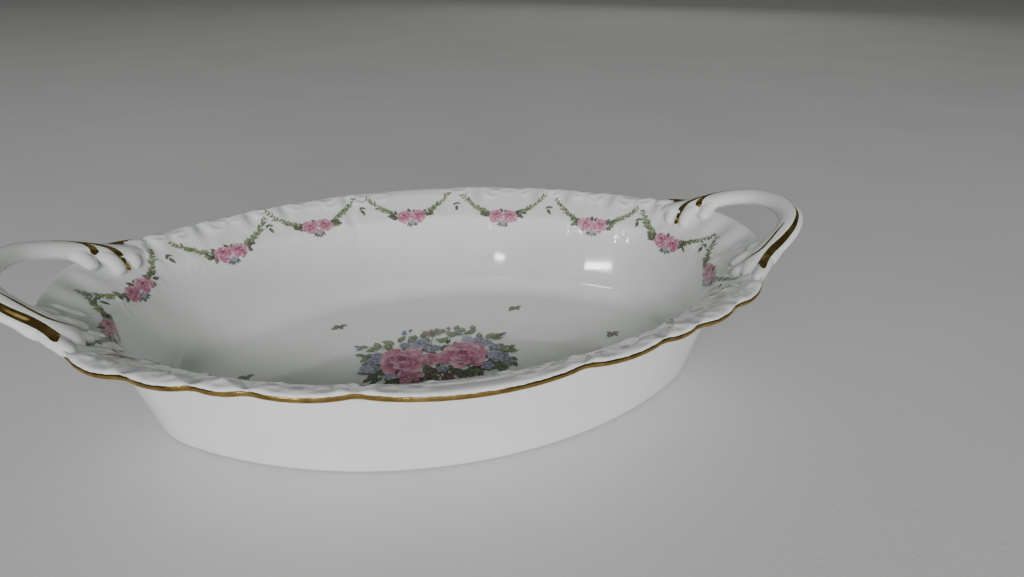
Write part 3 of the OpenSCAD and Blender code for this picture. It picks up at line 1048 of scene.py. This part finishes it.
def strand_leaves(t, side):
    """One strand of a garland: its stem, and paired leaves that grow smaller towards its end."""
    half = GARLAND_HALF
    t.stem([(side * half * s, GARLAND_DROP * s**2.0) for s in np.linspace(0.15, 0.97, 7)], 0.22, GREENS[1])
    for k, s in enumerate(np.linspace(0.42, 0.99, 12)):
        a, b = side * half * s, GARLAND_DROP * s**2.0
        slope = math.atan2(2.0 * GARLAND_DROP * s, half)
        for way in (-1, 1):
            turn = slope + way * (0.62 + t.jitter(0.25))
            turn = turn if side > 0 else math.pi - turn
            size = (2.9 - 1.0 * s) * (1 + t.jitter(0.25))
            tints = GREENS if (k + (way > 0)) % 3 == 0 else PALE_GREENS
            t.leaf(a + t.jitter(0.2), b + t.jitter(0.2), turn, size, tints, 0.47)


def garland_heart_leaves(t, side):
    """The dark leaves beside the pair of roses."""
    for k in range(8):
        a = side * (5.9 + 0.50 * k + t.jitter(0.3))
        b = 0.2 + 0.16 * k + t.jitter(1.1)
        turn = t.jitter(1.3) + (0.4 if side > 0 else math.pi - 0.4)
        t.leaf(a, b, turn, 3.3 - 0.12 * k, GREENS if k % 3 == 0 else DARK_GREENS, 0.58)


def make_garland(index):
    """Two leafy strands that meet in a pair of roses, with a violet and leaves below."""
    t = Transfer(wall_place(*laid_place(index)), 100 + index)
    for side in (-1, 1):
        strand_leaves(t, side)
        garland_heart_leaves(t, side)
    t.leaf(-0.3, 1.8, 1.9, 3.2, DARK_GREENS, 0.55)
    t.leaf(0.6, 1.8, 1.0, 2.6, DARK_GREENS, 0.55)
    for k, turn in enumerate((-2.3, -1.9, -1.55, -1.2, -0.8)):
        t.leaf(0.3 * (k - 2), -2.7, turn, 3.1, COOL_GREENS, 0.42)
    t.forget_me_not(0.2, -3.0, 1.4, VIOLETS)
    for side in (-1, 1):
        t.rose(side * 3.4, t.jitter(0.3), 3.7, 0.9)
    return make_prints(f"garland_print_{index + 1:02d}", [t], garland_ink)


# Leaves of a pendant and of a floor sprig: place, direction and length
PENDANT_LEAVES = [(0, 1.6, -2.4, 2.6), (0, 1.6, -0.8, 2.4), (0.1, -0.6, -1.35, 3.2), (0.1, -0.2, -2.0, 2.2)]
SPRIG_LEAVES = [(0.4, 0.6, 3.75, 4.2), (0.4, 0.8, 2.75, 2.6), (0.6, 0.6, -1.1, 3.0), (0.4, 0.8, 0.15, 3.2)]


def make_pendants():
    """The leaf sprigs that hang between the garlands, as one print."""
    sprigs = []
    for index in range(GARLANDS):
        (g1, v1), (g2, v2) = laid_place(index), laid_place(index + 1)
        t = Transfer(wall_place((g1 + g2) / 2, (v1 + v2) / 2 - 6.2), 300 + index)
        t.stem([(0, 2.4), (0.2, 0.4), (0, -1.6)], 0.22, DARK_GREENS[1])
        for a, b, turn, size in PENDANT_LEAVES:
            t.leaf(a, b, turn + t.jitter(0.2), size, GREENS[:1] + DARK_GREENS[:2], 0.46)
        sprigs.append(t)
    return make_prints("pendant_sprig_prints", sprigs, sprig_ink)


def floor_place(x0, y0):
    """Places local millimetres on the flat floor round (x0, y0)."""
    def place(a, b, lift):
        return np.stack([x0 + a, y0 + b, FLOOR_Z + lift], -1)

    return place


# The bouquet, in millimetres from the middle of the floor.
# Brown stems below the roses, and the dark leaves round them: place, direction and length
BASE_STEMS = [
    [(-6, -6), (-2, -15), (2, -21)], [(4, -6), (3, -15), (3, -22)], [(0, -4), (1, -14), (5, -21)],
]
BASE_LEAVES = [
    (-2, -10, -2.6, 8), (2, -12, -0.5, 8), (-6, -13, -2.2, 7), (7, -14, -0.7, 8), (-12, -13, -2.4, 7),
    (14, -12, -0.8, 8), (0, -14, -1.4, 7), (-18, -11, -2.6, 7), (19, -11, -0.4, 7),
]
# Long sprays that carry the outer leaves and buds
SPRAYS = [
    [(-12, 6), (-15, 12), (-13, 20)], [(-3, 6), (-1, 14), (1, 20)], [(3, 6), (7, 13), (7, 20)],
    [(10, 6), (14, 13), (17, 18)], [(16, 4), (23, 8), (29, 10)], [(18, 0), (26, -3), (33, -2)],
    [(-18, 5), (-24, 11), (-31, 13)], [(-20, 0), (-28, 3), (-33, 7)], [(-20, -4), (-28, -7), (-33, -8)],
]
OUTER_LEAVES = [
    (-18, 12, 2.2, 6.5), (-16, 14, 0.8, 5.5), (-11, 12, 1.2, 7), (-7, 15, 2.4, 5), (-6, 15, 0.9, 6),
    (-1, 15, 2.1, 7), (0, 16, 0.7, 6), (4, 17, 1.9, 5.5), (7, 14, 0.6, 7), (9, 13, 2.3, 6.5),
    (10, 18, 1.3, 5), (14, 14, 0.5, 6), (14, 16, 1.9, 5), (17, 17, 1.1, 4.5), (22, 8, 0.9, 6.5),
    (24, 8, -0.2, 5.5), (27, 9, 0.4, 4.5), (24, -2, 0.5, 7), (28, -3, -0.3, 6), (30, -2, 0.6, 4),
    (24, -12, -0.3, 7), (22, -14, -0.9, 6), (-24, 10, 2.0, 6), (-25, 10, 3.5, 5.5), (-29, 12, 2.6, 4.5),
    (-26, 3, 2.6, 7), (-29, 4, 3.7, 5), (-27, -6, 3.4, 7.5), (-26, -9, 3.9, 6), (-31, 6, 2.7, 4),
    (-3, 10, 2.0, 6), (2, 9, 1.0, 6), (-20, 8, 1.7, 6), (19, 8, 1.4, 6), (4, 10, 2.7, 5), (-8, 10, 1.0, 5),
]
# Buds: place and direction
BLUE_BUDS = [
    (-12, 20, 1.9), (-10.5, 20.5, 1.2), (-11.5, 19, 2.6), (29, 10, 0.4), (-32, 13, 2.7), (-31, 11.5, 3.3),
]
BRONZE_BUDS = [(0, 18, 1.9), (1, 18.5, 1.2), (-0.5, 17.5, 2.6), (7, 18.5, 1.5)]
BLUE_FLOWERS = [
    (-9, 9), (-4, 7.5), (-13, 10), (-29, -1.5), (-25, 4), (-28, -5), (16, 8), (21, 4.5), (13.5, 9.5),
    (24.5, 0.5), (23, -9), (27, -10.5), (-1, 5), (0, -11), (-22, -12), (18, -13), (-6.5, 10.5), (19, 7),
    (-31, -4.5), (-26.5, 0.5), (22.5, -5.5), (26, -7),
]
# Roses: place, radius and squash
ROSES = [(-3.4, -2.8, 4.4, 1.2), (-14, -13.5, 5.6, 0.8), (-15.6, -2.6, 10.4, 0.95), (10.0, -3.4, 10.6, 0.95)]


def bouquet_thicket(t):
    """The dark leaves behind everything."""
    for _ in range(130):
        turn, far = t.rng.uniform(0, TAU), math.sqrt(t.rng.random())
        a, b = -1 + 29 * far * math.cos(turn), -5 + 13.5 * far * math.sin(turn)
        way, size = turn + t.jitter(0.9), 4 + t.jitter(1.2)
        t.leaf(a, b, way, size, GREENS if t.rng.random() < 0.55 else DARK_GREENS, 0.5)
    for _ in range(70):
        a, b = t.rng.uniform(-29, 29), t.rng.uniform(-18, -8)
        t.leaf(a, b * (1 - (a / 60) ** 2), t.rng.uniform(-2.8, -0.3), 4.5, DARK_GREENS + GREENS[:1], 0.5)


def bouquet_greenery(t):
    """Stems, sprays and the separate leaves, each outer leaf with a smaller one beside it."""
    for points in BASE_STEMS:
        t.stem(points, 0.7, BROWN)
    for a, b, turn, size in BASE_LEAVES:
        t.leaf(a, b, turn, size, DARK_GREENS + GREENS[2:3], 0.42)
    for points in SPRAYS:
        t.stem(points, 0.35, PALE_GREENS[1])
    for a, b, turn, size in OUTER_LEAVES:
        t.leaf(a, b, turn, size, GREENS, 0.55)
        near = (a + t.jitter(1.5), b + t.jitter(1), turn + t.jitter(0.9))
        t.leaf(*near, size * 0.7, GREENS + DARK_GREENS[:2], 0.5)
        tip = (a + size * 0.85 * math.cos(turn), b + size * 0.85 * math.sin(turn))
        t.stem([(a, b), tip], 0.18, PALE_GREENS[2])


def bouquet_flowers(t):
    """Buds, small blue flowers and the roses."""
    for a, b, turn in BLUE_BUDS:
        t.blade(a, b, turn, 3.2, 1.7, BLUES[0], BLUES[1], 1.3, 0.8)
    for a, b, turn in BRONZE_BUDS:
        t.blade(a, b, turn, 3.6, 2.0, *BRONZE, 1.2, 0.8)
    for a, b in BLUE_FLOWERS:
        flower = (a + t.jitter(0.5), b + t.jitter(0.5), 2.9 + t.jitter(0.3))
        t.forget_me_not(*flower, BLUES if t.rng.random() < 0.7 else LIGHT_BLUES)
    for rose in ROSES:
        t.rose(*rose)


def make_bouquet():
    t = Transfer(floor_place(0, 0), 7)
    bouquet_thicket(t)
    bouquet_greenery(t)
    bouquet_flowers(t)
    return make_prints("bouquet_print", [t], bouquet_ink)


def make_floor_sprigs():
    """Six loose sprigs round the bouquet: four off its corners and one towards each end."""
    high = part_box("floor_sprigs")[1] / MM
    end_x = high.x - 4.2
    outer_x, outer_y = 0.526 * end_x, high.y - 3.6
    spots = [(sx * outer_x, sy * outer_y) for sx in (-1, 1) for sy in (-1, 1)]
    sprigs = []
    for k, (x, y) in enumerate(spots + [(end_x, 0), (-end_x, 0)]):
        t = Transfer(floor_place(x, y), 500 + k)
        t.stem([(-3.2, -0.6), (0, 0.6), (2.6, 0.9)], 0.3, DARK_GREENS[1])
        for a, b, turn, size in SPRIG_LEAVES:
            t.leaf(a, b, turn + t.jitter(0.15), 1.12 * size, DARK_GREENS[:2], 0.6)
        sprigs.append(t)
    return make_prints("floor_sprig_prints", sprigs, sprig_ink)


# ---- assembly ----

def settle(piece, slot, *nodes):
    """Rides on the one body and stands for its CAD nodes, which it hides. The slot is not used."""
    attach(piece, "root")
    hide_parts(*nodes)


body = make_body()
settle(body, "porcelain", "bowl_body")
for word, side in (("right", 1), ("left", -1)):
    handle = make_handle(f"porcelain_handle_{word}", side)
    settle(handle, "porcelain", f"handle_{word}")
    handle_gold = make_handle_gilding(f"gilt_handle_{word}", side, surface_of([handle, body]))
    settle(handle_gold, "gilding", f"handle_gilding_{word}")
settle(make_rim_gilding("gilt_rim_back", 0), "gilding", "rim_gilding_back")
settle(make_rim_gilding("gilt_rim_front", GIRTH / 2), "gilding", "rim_gilding_front")
for index in range(GARLANDS):
    settle(make_garland(index), "garland_print", f"garland_{index + 1:02d}")
settle(make_pendants(), "sprig_print", "pendant_sprigs")
settle(make_bouquet(), "bouquet_print", "floor_bouquet")
settle(make_floor_sprigs(), "sprig_print", "floor_sprigs")


# ---- table, light and camera ----

def make_table():
    reach = 3000
    points = [(-reach, -reach, 0), (reach, -reach, 0), (reach, reach, 0), (-reach, reach, 0)]
    table = make_piece("table_top", points, [(0, 1, 2, 3)], floor_material(), smooth=False)


def make_light(name, place, target, size, power, tint, reflected=True):
    """A rectangular light of that size in metres; reflected says whether the glaze mirrors it."""
    data = bpy.data.lights.new(name, "AREA")
    data.shape = "RECTANGLE"
    data.size, data.size_y = size
    data.energy = power
    data.color = tint
    light = bpy.data.objects.new(name, data)
    light.location = place
    light.rotation_euler = (Vector(target) - Vector(place)).to_track_quat("-Z", "Y").to_euler()
    light.visible_glossy = reflected
    bpy.context.scene.collection.objects.link(light)


def make_world():
    world = bpy.data.worlds.new("room")
    world.use_nodes = True
    back = world.node_tree.nodes["Background"]
    back.inputs["Color"].default_value = (0.6, 0.64, 0.58, 1)
    back.inputs["Strength"].default_value = 0.17
    bpy.context.scene.world = world


def make_camera():
    """The viewing angle: from the front, a little left of the middle, looking down on the bowl."""
    yaw, pitch, roll = -0.246, 0.47, 0.012
    data = bpy.data.cameras.new("view")
    data.sensor_width = 36
    data.lens = 23.19
    data.clip_start, data.clip_end = 0.01, 20
    camera = bpy.data.objects.new("view", data)
    level = Matrix.Rotation(yaw, 4, "Z") @ Matrix.Rotation(math.pi / 2 - pitch, 4, "X")
    turn = level @ Matrix.Rotation(roll, 4, "Z")
    camera.matrix_world = Matrix.Translation((-0.028, -0.2366, 0.1576)) @ turn
    bpy.context.scene.collection.objects.link(camera)
    bpy.context.scene.camera = camera


BOWL = (0, 0, 0.03)
COOL_WHITE = (1.0, 0.99, 1.0)
PANE_WHITE = (1.0, 1.0, 1.0)

make_table()
make_world()
# Soft light from the front left, weak fill from above and behind, and two small panes that give
# the two highlights on the far wall
make_light("soft_front", (-0.45, -2.15, 1.26), BOWL, (1.6, 0.4), 35, COOL_WHITE, reflected=False)
make_light("low_front", (-0.3, -1.60, 0.24), (0, 0, 0.02), (1.8, 0.3), 10, COOL_WHITE, reflected=False)
make_light("window_front", (-0.75, -2.20, 1.30), BOWL, (3.8, 2.4), 16, COOL_WHITE)
make_light("room_top", (0.3, 0.6, 1.5), (0, 0, 0), (1.4, 1.0), 0.5, (0.92, 1.0, 0.92))
make_light("room_back", (0.9, 1.8, 0.9), BOWL, (1.2, 0.9), 2.2, (0.96, 1.0, 0.97), reflected=False)
make_light("pane_one", (-0.278, -1.039, 0.392), (0.04, 0.057, 0.02), (0.036, 0.005), 0.07, PANE_WHITE)
make_light("pane_two", (-0.691, -0.808, 0.373), (0.084, 0.037, 0.02), (0.125, 0.014), 0.33, PANE_WHITE)
make_camera()
